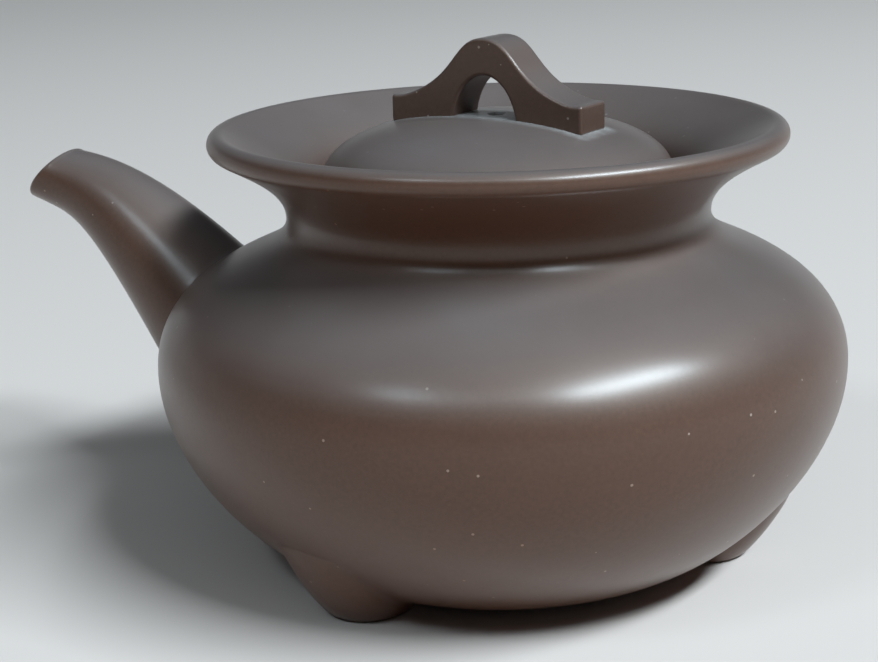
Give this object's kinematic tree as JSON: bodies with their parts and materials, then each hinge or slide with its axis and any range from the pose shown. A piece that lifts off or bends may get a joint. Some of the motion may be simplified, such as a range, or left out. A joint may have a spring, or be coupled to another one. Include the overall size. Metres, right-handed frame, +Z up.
{
  "type": "teapot",
  "caption": "Squat unglazed stoneware teapot on feet, with a flared collar to hold it by, a short raised spout and an inset lift-off lid with a bridge knob.",
  "frame": {"origin": "the table, under the middle of the footprint's bounding box; the pot's own axis stands at x = 0.015", "axes": "+Z up, -X the way the spout points, +Y to the pot's right seen from the end away from the spout"},
  "size_m": [0.1226, 0.092, 0.0698],
  "materials": {
    "clay": "satin, unglazed and lightly burnished",
    "inner_clay": "matte, unglazed"
  },
  "bodies": {
    "pot": {"base_slab": "clay", "belly_wall": "clay", "shoulder_ring": "clay", "collar": "clay", "lid_seat": "inner_clay", "spout": "clay", "strainer": "inner_clay", "foot_a": "clay", "foot_b": "clay", "foot_c": "clay"},
    "lid": {"lid_plate": "clay", "lid_flange": "clay", "knob": "clay"}
  },
  "joints": [
    {"name": "lid_lift", "type": "slide", "parent": "pot", "child": "lid", "axis": [0, 0, 1], "range_m": [0, 0.05]}
  ]
}
